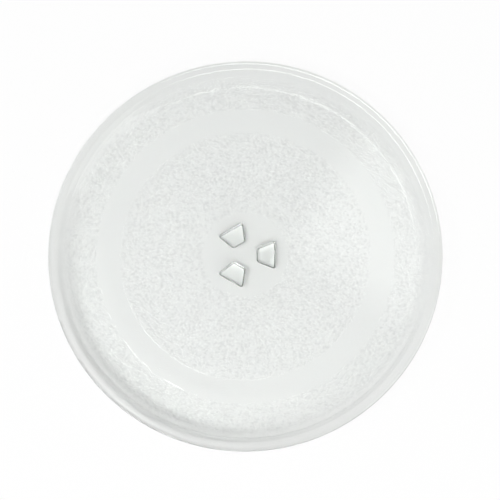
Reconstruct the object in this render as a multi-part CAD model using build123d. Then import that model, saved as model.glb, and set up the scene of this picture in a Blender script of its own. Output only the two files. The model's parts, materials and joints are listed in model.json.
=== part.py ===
from build123d import *
from math import cos, radians, sin, tan
import os

# Turntable tray of a microwave oven: a shallow round dish pressed in one piece of clear glass.
# Lengths are in millimetres, angles in degrees, and +Z is up. The origin is on the turning
# axis, level with the ends of the drive lugs, on which the tray stands out of the oven.

# Dish
tray_diameter = 245.0
floor_thickness = 4.8
wall_rise = 6.2
inner_slope = 62.0
outer_slope = 40.0
flange_width = 9.0
flange_thickness = 4.0
flange_slope = 12.0
neck_offset = 4.2

# Edges of the dish
floor_corner_radius = 10.5
foot_corner_radius = 9.5
shoulder_radius = 1.4
lip_radius = 1.8
lip_bevel = 0.6
neck_bevel = 1.4
wall_straight = 0.05  # least straight wall between the floor corner and the shoulder

# Smooth track that runs on the rollers, sunk into the underside
track_margin = 15.1
track_width = 17.1
track_depth = 0.4

# Drive lugs under the middle, one between each two arms of the oven's coupler
lug_count = 3
lug_drop = 5.5
lug_inner_radius = 7.6
lug_length = 11.0
lug_inner_width = 8.0
lug_outer_width = 17.8
lug_draft = 18.0
lug_corner_radius = 1.5
lug_end_bevel = 0.6

# Levels and radii that follow from the sizes above
underside = lug_drop
floor_level = underside + floor_thickness
shoulder_level = floor_level + wall_rise
tray_radius = tray_diameter / 2
shoulder_at = tray_radius - flange_width
flange_across = flange_thickness / cos(radians(flange_slope))
neck_at = shoulder_at + neck_offset
neck_level = shoulder_level + neck_offset * tan(radians(flange_slope)) - flange_across
foot_at = neck_at - (neck_level - underside) / tan(radians(outer_slope))
wall_length = wall_rise / sin(radians(inner_slope))
shoulder_reach = shoulder_radius * tan(radians((inner_slope - flange_slope) / 2))
floor_corner_limit = (wall_length - shoulder_reach - wall_straight) / tan(radians(inner_slope / 2))
track_outer_radius = foot_at - track_margin
track_inner_radius = track_outer_radius - track_width


def dish_section():
    """Half of the dish's cross-section, from the turning axis to the lip of the flange."""
    # Corners of the section before they are rounded
    floor = Vector(shoulder_at - wall_rise / tan(radians(inner_slope)), floor_level)
    shoulder = Vector(shoulder_at, shoulder_level)
    lip_top = shoulder + Vector(flange_width, flange_width * tan(radians(flange_slope)))
    lip_bottom = lip_top - Vector(0, flange_across)
    neck = Vector(neck_at, neck_level)
    foot = Vector(foot_at, underside)

    with BuildSketch(Plane.XZ) as section:
        with BuildLine():
            Polyline(
                (0, underside),
                (0, floor_level),
                floor,
                shoulder,
                lip_top,
                lip_bottom,
                neck,
                foot,
                (track_outer_radius, underside),
                (track_outer_radius - track_depth, underside + track_depth),
                (track_inner_radius + track_depth, underside + track_depth),
                (track_inner_radius, underside),
                close=True,
            )
        make_face()
        for corner, radius in (
            (floor, min(floor_corner_radius, floor_corner_limit)),
            (shoulder, shoulder_radius),
            (lip_top, lip_radius),
            (foot, foot_corner_radius),
        ):
            fillet(section.vertices().sort_by_distance(corner)[0], radius=radius)
        for corner, length in ((lip_bottom, lip_bevel), (neck, neck_bevel)):
            chamfer(section.vertices().sort_by_distance(corner)[0], length=length)
    return section.sketch


def drive_lug():
    """One wedge-shaped lug on the +X side, drawn in by its draft from the underside to its end."""
    outer_radius = lug_inner_radius + lug_length
    root_plane = Plane((0, 0, underside), x_dir=(1, 0, 0), z_dir=(0, 0, -1))
    with BuildPart() as lug:
        with BuildSketch(root_plane):
            with BuildLine():
                Polyline(
                    (lug_inner_radius, -lug_inner_width / 2),
                    (outer_radius, -lug_outer_width / 2),
                    (outer_radius, lug_outer_width / 2),
                    (lug_inner_radius, lug_inner_width / 2),
                    close=True,
                )
            make_face()
        extrude(amount=lug_drop)
        draft(lug.faces().filter_by(Axis.Z, reverse=True), root_plane, lug_draft)
        fillet(lug.edges().group_by(Axis.Z)[1], radius=lug_corner_radius)
        chamfer(lug.faces().sort_by(Axis.Z)[0].edges(), length=lug_end_bevel)
    return lug.part


dish = revolve(dish_section(), axis=Axis.Z)
glass_tray = dish + PolarLocations(0, lug_count) * drive_lug()

os.makedirs("parts", exist_ok=True)
export_step(glass_tray, "parts/glass_tray.step")
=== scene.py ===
import json
import math

import bmesh
import bpy
from mathutils import Euler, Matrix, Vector

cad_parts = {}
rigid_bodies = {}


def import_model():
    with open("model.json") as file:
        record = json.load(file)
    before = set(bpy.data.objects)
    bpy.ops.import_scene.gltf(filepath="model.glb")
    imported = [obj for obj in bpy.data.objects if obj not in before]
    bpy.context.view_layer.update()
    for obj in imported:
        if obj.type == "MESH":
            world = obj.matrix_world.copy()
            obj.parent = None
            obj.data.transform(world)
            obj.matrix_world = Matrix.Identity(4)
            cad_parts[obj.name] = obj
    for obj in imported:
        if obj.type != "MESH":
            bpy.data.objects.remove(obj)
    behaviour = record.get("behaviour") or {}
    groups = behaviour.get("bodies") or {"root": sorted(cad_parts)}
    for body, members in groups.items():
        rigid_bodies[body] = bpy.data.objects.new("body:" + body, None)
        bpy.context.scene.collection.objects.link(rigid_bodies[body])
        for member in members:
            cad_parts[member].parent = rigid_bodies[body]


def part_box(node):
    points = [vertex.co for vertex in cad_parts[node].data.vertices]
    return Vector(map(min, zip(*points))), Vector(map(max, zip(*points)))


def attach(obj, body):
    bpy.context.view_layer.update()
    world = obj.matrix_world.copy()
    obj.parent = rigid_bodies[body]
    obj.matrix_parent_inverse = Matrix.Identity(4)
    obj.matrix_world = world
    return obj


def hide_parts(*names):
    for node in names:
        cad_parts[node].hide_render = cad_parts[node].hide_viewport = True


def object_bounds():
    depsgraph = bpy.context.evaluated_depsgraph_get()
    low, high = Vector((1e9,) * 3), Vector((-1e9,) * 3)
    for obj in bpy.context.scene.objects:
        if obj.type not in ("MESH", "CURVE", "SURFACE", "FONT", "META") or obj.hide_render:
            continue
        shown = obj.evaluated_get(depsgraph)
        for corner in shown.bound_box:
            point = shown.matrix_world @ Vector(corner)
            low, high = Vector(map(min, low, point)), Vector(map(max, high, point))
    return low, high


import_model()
CAD_BOX = [list(corner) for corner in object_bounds()]
TRAY_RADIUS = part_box("glass_tray")[1].x

bl_info = {
    "name": "Glass Turntable Tray",
    "version": (1, 0, 0),
    "blender": (4, 5, 0),
    "location": "View3D > Sidebar > Tray",
    "description": "Builds the pressed-glass turntable tray of a microwave oven and a pale studio round it",
    "category": "Add Mesh",
}

MM = 0.001
HAIR = 1e-6  # places closer than this, in metres, are the same
IMAGE_SIDE = 500


# Settings


def length(name, millimetres, description):
    """A length property with its default given in millimetres."""
    return bpy.props.FloatProperty(
        name=name,
        description=description,
        default=millimetres * MM,
        min=0.0,
        precision=5,
        subtype="DISTANCE",
        unit="LENGTH",
    )


def angle(name, degrees, description):
    """An angle property with its default given in degrees."""
    return bpy.props.FloatProperty(
        name=name,
        description=description,
        default=math.radians(degrees),
        subtype="ANGLE",
        unit="ROTATION",
    )


def count(name, number, description):
    """A whole-number property."""
    return bpy.props.IntProperty(name=name, description=description, default=number, min=1)


def level(name, value, description):
    """A plain number property."""
    return bpy.props.FloatProperty(name=name, description=description, default=value, precision=4)


def colour(name, value, description):
    """A colour property."""
    return bpy.props.FloatVectorProperty(
        name=name, description=description, default=value, size=3, min=0.0, max=1.0, subtype="COLOR"
    )


class DishSettings(bpy.types.PropertyGroup):
    """Section of the round dish."""

    floor_thickness: length("Floor thickness", 4.8, "Glass between the inside floor and the underside")
    wall_rise: length("Wall rise", 6.2, "Height from the floor to the shoulder of the flange")
    inner_slope: angle("Inner slope", 62.0, "Slope of the inside of the wall, just below the shoulder")
    outer_slope: angle("Outer slope", 40.0, "Slope of the outside of the wall")
    neck_offset: length("Neck offset", 4.2, "From the shoulder out to the neck under the flange")
    flange_width: length("Flange width", 9.0, "Width of the flange in plan")
    flange_thickness: length("Flange thickness", 4.0, "Glass across the flange")
    flange_slope: angle("Flange slope", 12.0, "Slope of the flange above the level")
    floor_corner: length("Floor corner", 10.5, "Inside radius between floor and wall")
    foot_corner: length("Foot corner", 9.5, "Outside radius between underside and wall")
    shoulder_corner: length("Shoulder corner", 1.4, "Radius between wall and flange, on top")
    neck_corner: length("Neck corner", 2.5, "Radius between wall and flange, underneath")
    lip_top_corner: length("Lip top", 1.9, "Radius of the top of the lip")
    lip_bottom_corner: length("Lip bottom", 1.6, "Radius of the bottom of the lip")
    track_margin: length("Track margin", 15.8, "From the foot of the wall, underneath, to the roller track")
    track_width: length("Track width", 13.2, "Width of the smooth roller track")
    track_depth: length("Track depth", 0.15, "Depth of the roller track in the underside")
    track_ramp: length("Track ramp", 5.0, "Width of the slope along each edge of the roller track")
    track_corner: length("Track corner", 20.0, "Radius along the edges of the roller track")
    segments: count("Segments", 360, "Divisions round the dish")


class StippleSettings(bpy.types.PropertyGroup):
    """Pebbled texture pressed into the underside."""

    hub_radius: length("Hub radius", 26.0, "Smooth middle round the lugs")
    dense_radius: length("Dense radius", 40.0, "Radius from which the mesh is twice as dense round the dish")
    ring_step: length("Ring step", 0.68, "Distance between the mesh rings that carry the stipple")
    pitch: length("Pitch", 1.9, "Distance from one pebble to the next")
    height: length("Height", 0.2, "Height of the pebbles")
    fade: length("Fade", 1.6, "Distance over which the stipple dies out at its edges")


class LugSettings(bpy.types.PropertyGroup):
    """Wedge-shaped drive lugs under the middle."""

    number: count("Number", 3, "Lugs round the turning axis")
    drop: length("Drop", 5.5, "From the underside to the ends of the lugs")
    inner_radius: length("Inner radius", 7.6, "From the axis to the blunt inner end")
    reach: length("Length", 11.0, "Length along the radius")
    inner_width: length("Inner width", 8.0, "Width at the inner end")
    outer_width: length("Outer width", 17.8, "Width at the outer end")
    draft: angle("Draft", 3.0, "Draft of the sides")
    corner: length("Corner", 1.2, "Corner radius in plan")
    root: length("Root", 0.7, "Radius where a lug runs into the underside")
    end: length("End", 0.5, "Radius round the end face")


class GlassSettings(bpy.types.PropertyGroup):
    """Clear soda-lime glass."""

    tint: colour("Tint", (0.98, 0.986, 0.978), "Colour that the glass lets through")
    ior: level("Index of refraction", 1.5, "How strongly the glass bends light")
    roughness: level("Roughness", 0.0, "Roughness of the polished faces")
    body: colour("Body colour", (0.4, 0.75, 0.5), "Colour of the glass seen through a thick edge")
    depth: level("Body density", 4.0, "How soon the body colour builds up, per metre")
    speck: level("Speck", 0.79, "How much light the dullest pebbles let through")
    haze: level("Haze", 0.18, "How dull the smooth parts of the underside are, next to the dullest pebbles")
    # Painted shade: dulls the ends of the lugs to even out the light that they gather onto the table under them
    lug_end_shade: level("Shade", 0.55, "How dull the worn ends of the lugs are, next to the dullest pebbles")


class StudioSettings(bpy.types.PropertyGroup):
    """Table, lamps and camera."""

    table: colour("Table", (0.85, 0.85, 0.85), "Colour of the table")
    # Painted light: a pool of light painted into the table's colour on the right, under the tray
    pool: colour("Pool", (0.96, 0.96, 0.96), "Colour of the table in the pool of light on the right")
    whiteness: level("Whiteness", 0.93, "Share of plain white in the table as the camera sees it")
    clearness: level("Clearness", 0.2, "Share of plain white in the table as the glass shows it")
    room: colour("Room", (0.18, 0.18, 0.18), "Colour of the room")
    distance: length("Camera distance", 900.0, "From the camera to the tray")
    tilt: angle("Camera tilt", 8.46, "How far the camera leans from straight above, towards the viewer")
    lean: angle("Camera lean", 1.27, "How far the camera leans from straight above, to the right")
    across: level("Outline width", 391.0, "Width of the tray in the picture, in pixels")
    aside: level("Aside", -4.9, "Middle of the tray from the middle of the picture, in pixels")
    above: level("Above", -4.2, "Middle of the tray above the middle of the picture, in pixels")


# Mesh tools


def start_piece(name, primitive, **options):
    """Adds a primitive with nothing else selected, and opens it for editing."""
    bpy.ops.object.select_all(action="DESELECT")
    primitive(**options)
    piece = bpy.context.object
    piece.name = name
    piece.data.name = name
    bpy.ops.object.mode_set(mode="EDIT")
    return piece


def pick(piece, verts=None, edges=None, faces=None):
    """Selects only the vertices, edges or faces that pass a test."""
    bpy.ops.mesh.select_all(action="DESELECT")
    mode, test = next((m, t) for m, t in (("VERT", verts), ("EDGE", edges), ("FACE", faces)) if t)
    bpy.ops.mesh.select_mode(type=mode)
    mesh = bmesh.from_edit_mesh(piece.data)
    found = [e for e in getattr(mesh, {"VERT": "verts", "EDGE": "edges", "FACE": "faces"}[mode]) if test(e)]
    for element in found:
        element.select_set(True)
    mesh.select_flush_mode()
    bmesh.update_edit_mesh(piece.data)
    return len(found)


def near(point):
    """A test for vertices at one place."""
    return lambda v: (v.co - point).length < HAIR


def radius_of(point):
    """Distance from the turning axis."""
    return math.hypot(point.x, point.y)


def middle(edge):
    """Middle of an edge."""
    return (edge.verts[0].co + edge.verts[1].co) / 2


# Dish


def dish_levels(tray):
    """Heights and radii that follow from the settings."""
    dish, lug = tray.dish, tray.lugs
    underside = lug.drop
    floor = underside + dish.floor_thickness
    shoulder = TRAY_RADIUS - dish.flange_width
    flange = math.tan(dish.flange_slope)
    shoulder_height = floor + dish.wall_rise
    flange_across = dish.flange_thickness / math.cos(dish.flange_slope)
    neck_height = shoulder_height + dish.neck_offset * flange - flange_across
    foot = shoulder + dish.neck_offset - (neck_height - underside) / math.tan(dish.outer_slope)
    track_outer = foot - dish.track_margin
    return {
        "underside": underside,
        "floor": floor,
        "shoulder": shoulder,
        "shoulder_height": shoulder_height,
        "lip_height": shoulder_height + dish.flange_width * flange,
        "lip_drop": flange_across,
        "neck": shoulder + dish.neck_offset,
        "neck_height": neck_height,
        "wall_foot": shoulder - dish.wall_rise / math.tan(dish.inner_slope),
        "foot": foot,
        "foot_start": foot - dish.foot_corner * math.tan(dish.outer_slope / 2),
        "track_outer": track_outer,
        "track_inner": track_outer - dish.track_width,
    }


def section_corners(tray):
    """Corners of half the section as (radius, height, rounding), from the axis over the top and back."""
    dish, stipple, at = tray.dish, tray.stipple, dish_levels(tray)
    track_height = at["underside"] + dish.track_depth
    return [
        (0.0, at["floor"], 0.0),
        (at["wall_foot"], at["floor"], dish.floor_corner),
        (at["shoulder"], at["shoulder_height"], dish.shoulder_corner),
        (TRAY_RADIUS, at["lip_height"], dish.lip_top_corner),
        (TRAY_RADIUS, at["lip_height"] - at["lip_drop"], dish.lip_bottom_corner),
        (at["neck"], at["neck_height"], dish.neck_corner),
        (at["foot"], at["underside"], dish.foot_corner),
        (at["track_outer"], at["underside"], dish.track_corner),
        (at["track_outer"] - dish.track_ramp, track_height, dish.track_corner),
        (at["track_inner"] + dish.track_ramp, track_height, dish.track_corner),
        (at["track_inner"], at["underside"], dish.track_corner),
        (stipple.hub_radius, at["underside"], 0.0),
        (0.0, at["underside"], 0.0),
    ]


SUPPORT = 0.35 * MM  # from a rounding to the ring that keeps the flat beside it flat
ARC_STEP = math.radians(9.0)


def draw_section(tray):
    """Draws half the section as a face, with its corners rounded."""
    corners = section_corners(tray)
    spots = [Vector((r, 0.0, z)) for r, z, _ in corners]
    roundings = []
    for before, spot, after, corner in zip(spots, spots[1:], spots[2:], corners[1:]):
        turn = (spot - before).angle(after - spot)
        if corner[2]:
            roundings.append((spot, corner[2] * math.tan(turn / 2), max(2, round(turn / ARC_STEP))))
    section = start_piece("glass_tray_pressed", bpy.ops.mesh.primitive_plane_add, size=MM)
    bpy.ops.mesh.merge(type="CENTER")
    bpy.ops.transform.translate(value=spots[0])
    here = spots[0]
    cut = {tuple(s): c for s, c, _ in roundings}
    for spot in spots[1:]:
        run = (spot - here).normalized()
        stops = [spot]
        clear = (spot - here).length
        if tuple(here) in cut and clear > cut[tuple(here)] + cut.get(tuple(spot), 0) + 3 * SUPPORT:
            stops.insert(0, here + run * (cut[tuple(here)] + SUPPORT))
        if tuple(spot) in cut and clear > cut[tuple(spot)] + cut.get(tuple(here), 0) + 3 * SUPPORT:
            stops.insert(-1, spot - run * (cut[tuple(spot)] + SUPPORT))
        for stop in stops:
            bpy.ops.mesh.extrude_vertices_move(TRANSFORM_OT_translate={"value": stop - here})
            here = stop
    bpy.ops.mesh.select_all(action="SELECT")
    bpy.ops.mesh.edge_face_add()
    for spot, offset, segments in roundings:
        if pick(section, verts=near(spot)) != 1:
            raise RuntimeError("a corner of the section is missing")
        bpy.ops.mesh.bevel(
            offset=offset, segments=segments, profile=0.5, affect="VERTICES", clamp_overlap=False
        )
    return section


def spin_section(section, tray):
    """Divides the stippled zones into rings and spins the section into the dish."""
    at, stipple = dish_levels(tray), tray.stipple
    bpy.ops.mesh.select_all(action="SELECT")
    bpy.ops.mesh.delete(type="ONLY_FACE")
    pick(section, edges=lambda e: max(radius_of(v.co) for v in e.verts) < HAIR)
    bpy.ops.mesh.delete(type="EDGE")

    def flat(edge):
        return all(abs(v.co.z - at["underside"]) < HAIR for v in edge.verts)

    for inner, outer in ((stipple.hub_radius, at["track_inner"]), (at["track_outer"], at["foot_start"])):
        edges = bmesh.from_edit_mesh(section.data).edges
        span = max((e for e in edges if flat(e) and inner < middle(e).x < outer), key=lambda e: e.calc_length())
        centre, cuts = middle(span), round(span.calc_length() / stipple.ring_step) - 1
        pick(section, edges=lambda e: (middle(e) - centre).length < HAIR)
        bpy.ops.mesh.subdivide(number_cuts=cuts)
    bpy.ops.object.mode_set(mode="OBJECT")
    turn = section.modifiers.new("turn", "SCREW")
    turn.axis = "Z"
    turn.angle = 2 * math.pi
    turn.steps = turn.render_steps = tray.dish.segments
    turn.use_merge_vertices = True
    turn.merge_threshold = HAIR
    bpy.ops.object.modifier_apply(modifier=turn.name)
    bpy.ops.object.mode_set(mode="EDIT")
    bpy.ops.mesh.select_all(action="SELECT")
    bpy.ops.mesh.remove_doubles(threshold=HAIR)
    bpy.ops.mesh.normals_make_consistent(inside=False)
    zones = ((stipple.dense_radius, at["track_inner"]), (at["track_outer"], at["foot_start"]))

    def rung(edge):
        first, second = (radius_of(v.co) for v in edge.verts)
        inside = any(a + stipple.ring_step < first < b - stipple.ring_step for a, b in zones)
        return inside and abs(first - second) < HAIR

    pick(section, edges=lambda e: rung(e) and flat(e))
    bpy.ops.mesh.subdivide(number_cuts=1)
    bpy.ops.object.mode_set(mode="OBJECT")


TRACK_FADE = 0.3  # share of the fade that the stipple takes beside the roller track
DOME_REACH = 0.55


def stipple_weight(point, tray):
    """How much of the stipple a point of the underside gets."""
    at, stipple = dish_levels(tray), tray.stipple
    if point.z > at["underside"] + HAIR:
        return 0.0
    track_fade = TRACK_FADE * stipple.fade
    r = radius_of(point)
    best = 0.0
    for inner, outer, fade_in, fade_out in (
        (stipple.hub_radius, at["track_inner"], stipple.fade, track_fade),
        (at["track_outer"], at["foot_start"], track_fade, stipple.fade),
    ):
        best = max(best, min(1.0, (r - inner) / fade_in, (outer - r) / fade_out))
    return max(0.0, best)


def press_stipple(dish, tray):
    """Raises the pebbles of the underside."""
    group = dish.vertex_groups.new(name="stipple")
    for v in dish.data.vertices:
        weight = stipple_weight(v.co, tray)
        if weight:
            group.add([v.index], weight, "REPLACE")
    pebbles = bpy.data.textures.new("pebbles", "VORONOI")
    pebbles.noise_scale = tray.stipple.pitch
    pebbles.use_color_ramp = True
    dome = pebbles.color_ramp
    dome.interpolation = "EASE"
    dome.elements[0].color = (1, 1, 1, 1)
    dome.elements[1].color = (0, 0, 0, 1)
    dome.elements[1].position = DOME_REACH
    press = dish.modifiers.new("press", "DISPLACE")
    press.texture = pebbles
    press.texture_coords = "LOCAL"
    press.direction = "Z"
    press.mid_level = 0.0
    press.strength = -tray.stipple.height
    press.vertex_group = group.name
    bpy.ops.object.modifier_apply(modifier=press.name)
    dish.vertex_groups.clear()


def even_normals(piece):
    """Keeps flat faces flat next to the roundings."""
    bpy.ops.object.shade_smooth()
    even = piece.modifiers.new("even", "WEIGHTED_NORMAL")
    even.mode = "FACE_AREA"
    even.weight = 50
    bpy.ops.object.modifier_apply(modifier=even.name)


# Lugs


LUG_STEPS = 7
LUG_CORNER_STEPS = 10
OVERLAP = 0.01 * MM


def lug_steps(lug):
    """Insets and drops that lead from the outline on the underside to the end face of a lug."""
    side = math.pi / 2 - lug.draft
    root_turns = [side * k / LUG_STEPS for k in range(LUG_STEPS + 1)]
    steps = []
    for a, b in zip(root_turns, root_turns[1:]):
        steps.append((lug.root * (math.sin(b) - math.sin(a)), lug.root * (math.cos(a) - math.cos(b))))
    end_turns = [side * k / LUG_STEPS for k in range(LUG_STEPS, -1, -1)]
    rounded = []
    for a, b in zip(end_turns, end_turns[1:]):
        rounded.append((lug.end * (math.sin(a) - math.sin(b)), lug.end * (math.cos(b) - math.cos(a))))
    straight = lug.drop - sum(d for _, d in steps) - sum(d for _, d in rounded)
    steps.append((straight * math.tan(lug.draft), straight))
    return steps + rounded


def build_lug(tray):
    """Models one lug on the +X side from its outline by repeated insets."""
    lug = tray.lugs
    steps = lug_steps(lug)
    flare = lug.root * math.tan((math.pi / 2 - lug.draft) / 2)
    length_out = lug.reach + 2 * flare
    middle_out = lug.inner_radius + lug.reach / 2
    piece = start_piece(
        "lug", bpy.ops.mesh.primitive_plane_add, size=1.0, location=(middle_out, 0, lug.drop)
    )
    bpy.ops.object.mode_set(mode="OBJECT")
    piece.scale = (length_out, lug.outer_width + 2 * flare, 1)
    bpy.ops.object.transform_apply(location=True, rotation=False, scale=True)
    bpy.ops.object.mode_set(mode="EDIT")
    bpy.ops.mesh.select_all(action="SELECT")
    bpy.ops.mesh.flip_normals()
    pick(piece, verts=lambda v: v.co.x < middle_out)
    bpy.ops.transform.resize(
        value=(1, (lug.inner_width + 2 * flare) / (lug.outer_width + 2 * flare), 1),
        center_override=(lug.inner_radius, 0, lug.drop),
    )
    bpy.ops.mesh.select_mode(type="FACE")
    bpy.ops.mesh.select_all(action="SELECT")
    for inset, drop in steps:
        bpy.ops.mesh.inset(thickness=inset, use_boundary=True, use_even_offset=True)
        bpy.ops.transform.translate(value=(0, 0, -drop))
    pick(piece, edges=lambda e: abs(e.verts[0].co.z - e.verts[1].co.z) > HAIR)
    bpy.ops.mesh.bevel(
        offset=lug.corner, offset_type="OFFSET", segments=LUG_CORNER_STEPS, profile=0.5, affect="EDGES"
    )
    embed = lug.drop / 4
    pick(piece, edges=lambda e: e.is_boundary)
    bpy.ops.transform.translate(value=(0, 0, OVERLAP))
    bpy.ops.mesh.extrude_edges_move(TRANSFORM_OT_translate={"value": (0, 0, embed)})
    bpy.ops.mesh.edge_face_add()
    bpy.ops.mesh.select_all(action="SELECT")
    bpy.ops.mesh.normals_make_consistent(inside=False)
    bpy.ops.object.mode_set(mode="OBJECT")
    return piece


def build_lugs(tray):
    """Copies the lug round the turning axis and joins the copies."""
    first = build_lug(tray)
    for k in range(1, tray.lugs.number):
        bpy.ops.object.select_all(action="DESELECT")
        first.select_set(True)
        bpy.context.view_layer.objects.active = first
        bpy.ops.object.duplicate()
        copy = bpy.context.object
        copy.rotation_euler = (0, 0, 2 * math.pi * k / tray.lugs.number)
        bpy.ops.object.transform_apply(location=True, rotation=True, scale=True)
    bpy.ops.object.select_all(action="DESELECT")
    for o in [o for o in bpy.data.objects if o.name.startswith("lug")]:
        o.select_set(True)
    bpy.context.view_layer.objects.active = first
    bpy.ops.object.join()
    return first


def unite(body, extra):
    """Melts one mesh into another."""
    bpy.ops.object.select_all(action="DESELECT")
    body.select_set(True)
    bpy.context.view_layer.objects.active = body
    union = body.modifiers.new("melt", "BOOLEAN")
    union.operation = "UNION"
    union.solver = "MANIFOLD"
    union.object = extra
    bpy.ops.object.modifier_apply(modifier=union.name)
    bpy.data.objects.remove(extra, do_unlink=True)


# Materials


PEBBLE_SLOPE = (0.25, 0.7)  # where a pebble starts and ends to fall away, from its middle
PEBBLE_BUMP = 0.12 * MM
# Painted shade on the ends of the lugs: none above the first height, full below the second
END_SHADE_BAND = (0.5 * MM, 0.1 * MM)
# Painted pool of light on the table under the tray: full inside the second radius, gone beyond the first
PAINTED_POOL_EDGE = (119 * MM, 107 * MM)
# The two soft straight sides of the painted pool of light: the direction into it, and where it starts and is
# full
PAINTED_POOL_SIDES = (((0.866, -0.5), (7 * MM, 42 * MM)), ((0.5, 0.866), (-1 * MM, 39 * MM)))


def add_node(tree, kind, inputs=None, **options):
    """Adds a node, sets its options and fills its sockets with values or links."""
    made = tree.nodes.new(kind)
    for name, value in options.items():
        setattr(made, name, value)
    for name, value in (inputs or {}).items():
        if isinstance(value, bpy.types.NodeSocket):
            tree.links.new(value, made.inputs[name])
        else:
            made.inputs[name].default_value = value
    return made


def slide(tree, value, start, end):
    """A soft change from 0 to 1 while a value goes from start to end."""
    inputs = {"Value": value, "From Min": start, "From Max": end}
    return add_node(tree, "ShaderNodeMapRange", inputs, interpolation_type="SMOOTHSTEP").outputs["Result"]


def calculate(tree, operation, first, second):
    """One step of arithmetic."""
    return add_node(tree, "ShaderNodeMath", {0: first, 1: second}, operation=operation).outputs[0]


def glass_material(tray):
    """Clear pressed glass, with the pebbles of the underside drawn in and painted shade on the ends of the
    lugs.
    """
    glass, stipple, at = tray.glass, tray.stipple, dish_levels(tray)
    material = bpy.data.materials.new("clear pressed glass")
    material.use_nodes = True
    tree = material.node_tree
    shader = tree.nodes["Principled BSDF"]
    shader.inputs["Roughness"].default_value = glass.roughness
    shader.inputs["IOR"].default_value = glass.ior
    shader.inputs["Transmission Weight"].default_value = 1.0
    place = add_node(tree, "ShaderNodeTexCoord").outputs["Object"]
    axes = add_node(tree, "ShaderNodeSeparateXYZ", {"Vector": place}).outputs
    plan = add_node(tree, "ShaderNodeCombineXYZ", {"X": axes["X"], "Y": axes["Y"]}).outputs[0]
    radius = add_node(tree, "ShaderNodeVectorMath", {0: plan}, operation="LENGTH").outputs["Value"]
    zones = None
    for inner, outer, fade_out in (
        (stipple.hub_radius, at["track_inner"], stipple.fade),
        (at["track_outer"], at["neck"], at["neck"] - at["foot"]),
    ):
        rise = slide(tree, radius, inner, inner + stipple.fade)
        fall = slide(tree, radius, outer, outer - fade_out)
        zone = calculate(tree, "MULTIPLY", rise, fall)
        zones = zone if zones is None else calculate(tree, "ADD", zones, zone)
    climb = calculate(tree, "MAXIMUM", calculate(tree, "SUBTRACT", radius, at["foot"]), 0.0)
    climb = calculate(tree, "MULTIPLY", climb, math.tan(tray.dish.outer_slope))
    depth = calculate(tree, "SUBTRACT", axes["Z"], climb)
    low = calculate(tree, "LESS_THAN", depth, at["underside"] + tray.dish.floor_thickness / 2)
    zones = calculate(tree, "MULTIPLY", zones, low)
    cells = add_node(
        tree,
        "ShaderNodeTexVoronoi",
        {"Vector": plan, "Scale": 1 / (0.5 * stipple.pitch)},
        voronoi_dimensions="2D",
    ).outputs
    feet = calculate(tree, "MULTIPLY", slide(tree, cells["Distance"], *PEBBLE_SLOPE), zones)
    chance = add_node(tree, "ShaderNodeSeparateColor", {"Color": cells["Color"]}).outputs["Red"]
    dull = calculate(tree, "SUBTRACT", calculate(tree, "POWER", chance, 2.0), glass.haze)
    dull = calculate(tree, "MULTIPLY", dull, zones)
    dull = calculate(tree, "ADD", dull, calculate(tree, "MULTIPLY", low, glass.haze))
    # Painted shade: the ends of the lugs are dulled to even out the light that the lugs gather onto the table
    # under them
    shaded = calculate(tree, "MULTIPLY", slide(tree, axes["Z"], *END_SHADE_BAND), glass.lug_end_shade)
    dull = calculate(tree, "MAXIMUM", dull, shaded)
    tint = add_node(
        tree,
        "ShaderNodeMix",
        {"Factor": dull, 6: (*glass.tint, 1), 7: (*(c * glass.speck for c in glass.tint), 1)},
        data_type="RGBA",
    ).outputs[2]
    tree.links.new(tint, shader.inputs["Base Color"])
    bump = add_node(tree, "ShaderNodeBump", {"Strength": 1.0, "Distance": PEBBLE_BUMP, "Height": feet})
    tree.links.new(bump.outputs["Normal"], shader.inputs["Normal"])
    body = add_node(tree, "ShaderNodeVolumeAbsorption", {"Color": (*glass.body, 1), "Density": glass.depth})
    tree.links.new(body.outputs[0], tree.nodes["Material Output"].inputs["Volume"])
    return material


def table_material(studio):
    """Pale matt table that shows as white to the camera and in the glass, with its shadows kept and a pool of
    light painted into its colour on the right.
    """
    material = bpy.data.materials.new("pale table")
    material.use_nodes = True
    tree = material.node_tree
    shader = tree.nodes["Principled BSDF"]
    place = add_node(tree, "ShaderNodeTexCoord").outputs["Object"]
    axes = add_node(tree, "ShaderNodeSeparateXYZ", {"Vector": place}).outputs
    plan = add_node(tree, "ShaderNodeVectorMath", {0: place}, operation="LENGTH").outputs["Value"]
    # Painted pool of light: the table's colour is lighter on the right, under the tray
    pool = slide(tree, plan, *PAINTED_POOL_EDGE)
    for (across, along), side in PAINTED_POOL_SIDES:
        x_part = calculate(tree, "MULTIPLY", axes["X"], across)
        y_part = calculate(tree, "MULTIPLY", axes["Y"], along)
        reach = calculate(tree, "ADD", x_part, y_part)
        pool = calculate(tree, "MULTIPLY", slide(tree, reach, *side), pool)
    table_with_painted_pool = add_node(
        tree,
        "ShaderNodeMix",
        {"Factor": pool, 6: (*studio.table, 1), 7: (*studio.pool, 1)},
        data_type="RGBA",
    ).outputs[2]
    tree.links.new(table_with_painted_pool, shader.inputs["Base Color"])
    shader.inputs["Roughness"].default_value = 0.9
    shader.inputs["Specular IOR Level"].default_value = 0.0
    white = add_node(tree, "ShaderNodeEmission")
    path = add_node(tree, "ShaderNodeLightPath").outputs
    direct = calculate(tree, "MULTIPLY", path["Is Camera Ray"], studio.whiteness)
    mirrored = calculate(tree, "MAXIMUM", path["Is Glossy Ray"], path["Is Transmission Ray"])
    mirrored = calculate(tree, "MULTIPLY", mirrored, studio.clearness)
    share = calculate(tree, "MAXIMUM", direct, mirrored)
    mix = add_node(tree, "ShaderNodeMixShader", {0: share, 1: shader.outputs[0], 2: white.outputs[0]})
    tree.links.new(mix.outputs[0], tree.nodes["Material Output"].inputs["Surface"])
    return material


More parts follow.
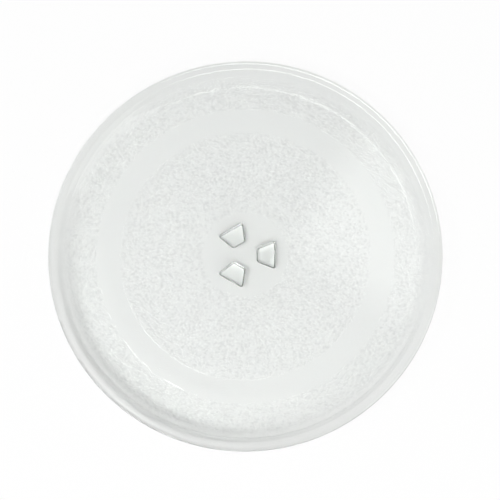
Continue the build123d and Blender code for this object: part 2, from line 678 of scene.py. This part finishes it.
def studio_world(studio):
    """Evenly lit room."""
    world = bpy.data.worlds.new("studio")
    world.use_nodes = True
    tree = world.node_tree
    tree.nodes["Background"].inputs["Color"].default_value = (*studio.room, 1)
    return world


# Operators


TABLE_GAP = 0.3 * MM
# Name, place in metres, size in metres, power in watts, and whether the glass mirrors the lamp
LAMPS = (
    ("strip light", (1.05, -0.61, 0.7), (0.9, 1.7), 5.5, True),
    ("key light", (-0.325, -0.457, 1.39), (1.6, 0.55), 22.3, False),
)


class TRAY_OT_build_glass(bpy.types.Operator):
    """Model the glass tray: dish, stippled underside and drive lugs in one piece"""

    bl_idname = "tray.build_glass"
    bl_label = "Build Glass Tray"

    def execute(self, context):
        tray = context.scene.glass_tray
        dish = draw_section(tray)
        spin_section(dish, tray)
        unite(dish, build_lugs(tray))
        press_stipple(dish, tray)
        even_normals(dish)
        dish.data.materials.clear()
        dish.data.materials.append(glass_material(tray))
        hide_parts("glass_tray")
        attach(dish, "root")
        return {"FINISHED"}


class TRAY_OT_build_studio(bpy.types.Operator):
    """Set up the pale table, the soft lamps and the camera above the tray"""

    bl_idname = "tray.build_studio"
    bl_label = "Build Studio"

    def execute(self, context):
        studio = context.scene.glass_tray.studio
        bpy.ops.object.select_all(action="DESELECT")
        bpy.ops.mesh.primitive_plane_add(size=8.0, location=(0, 0, CAD_BOX[0][2] - TABLE_GAP))
        table = context.object
        table.name = "table"
        table.data.materials.append(table_material(studio))
        for name, place, size, power, mirrored in LAMPS:
            bpy.ops.object.light_add(type="AREA", location=place)
            lamp = context.object
            lamp.name = name
            lamp.data.shape = "RECTANGLE"
            lamp.data.size, lamp.data.size_y = size
            lamp.data.energy = power
            lamp.visible_glossy = mirrored
            lamp.rotation_euler = (-Vector(place)).to_track_quat("-Z", "Y").to_euler()
        context.scene.world = studio_world(studio)
        pixel = 2 * TRAY_RADIUS / studio.across
        target = Vector((-studio.aside * pixel, -studio.above * pixel, CAD_BOX[1][2] / 2))
        turn = Euler((studio.tilt, studio.lean, 0))
        back = turn.to_matrix() @ Vector((0, 0, studio.distance))
        bpy.ops.object.camera_add(location=target + back, rotation=turn)
        camera = context.object
        camera.data.sensor_width = 36.0
        camera.data.lens = camera.data.sensor_width * studio.distance / (IMAGE_SIDE * pixel)
        context.scene.camera = camera
        context.scene.view_settings.view_transform = "Standard"
        context.scene.cycles.blur_glossy = 0.0
        return {"FINISHED"}


class TraySettings(bpy.types.PropertyGroup):
    """All settings of the tray and its studio."""

    dish: bpy.props.PointerProperty(type=DishSettings)
    stipple: bpy.props.PointerProperty(type=StippleSettings)
    lugs: bpy.props.PointerProperty(type=LugSettings)
    glass: bpy.props.PointerProperty(type=GlassSettings)
    studio: bpy.props.PointerProperty(type=StudioSettings)


class TRAY_PT_panel(bpy.types.Panel):
    """Settings and build buttons of the tray"""

    bl_idname = "TRAY_PT_panel"
    bl_label = "Glass Tray"
    bl_space_type = "VIEW_3D"
    bl_region_type = "UI"
    bl_category = "Tray"

    def draw(self, context):
        tray = context.scene.glass_tray
        for part in (tray.dish, tray.stipple, tray.lugs, tray.glass, tray.studio):
            box = self.layout.box()
            for name in part.__annotations__:
                box.prop(part, name)
        self.layout.operator(TRAY_OT_build_glass.bl_idname)
        self.layout.operator(TRAY_OT_build_studio.bl_idname)


CLASSES = (
    DishSettings,
    StippleSettings,
    LugSettings,
    GlassSettings,
    StudioSettings,
    TraySettings,
    TRAY_OT_build_glass,
    TRAY_OT_build_studio,
    TRAY_PT_panel,
)


def register():
    for cls in CLASSES:
        bpy.utils.register_class(cls)
    bpy.types.Scene.glass_tray = bpy.props.PointerProperty(type=TraySettings)


def unregister():
    del bpy.types.Scene.glass_tray
    for cls in reversed(CLASSES):
        bpy.utils.unregister_class(cls)


def main():
    register()
    bpy.ops.tray.build_glass()
    bpy.ops.tray.build_studio()


if __name__ == "__main__":
    main()
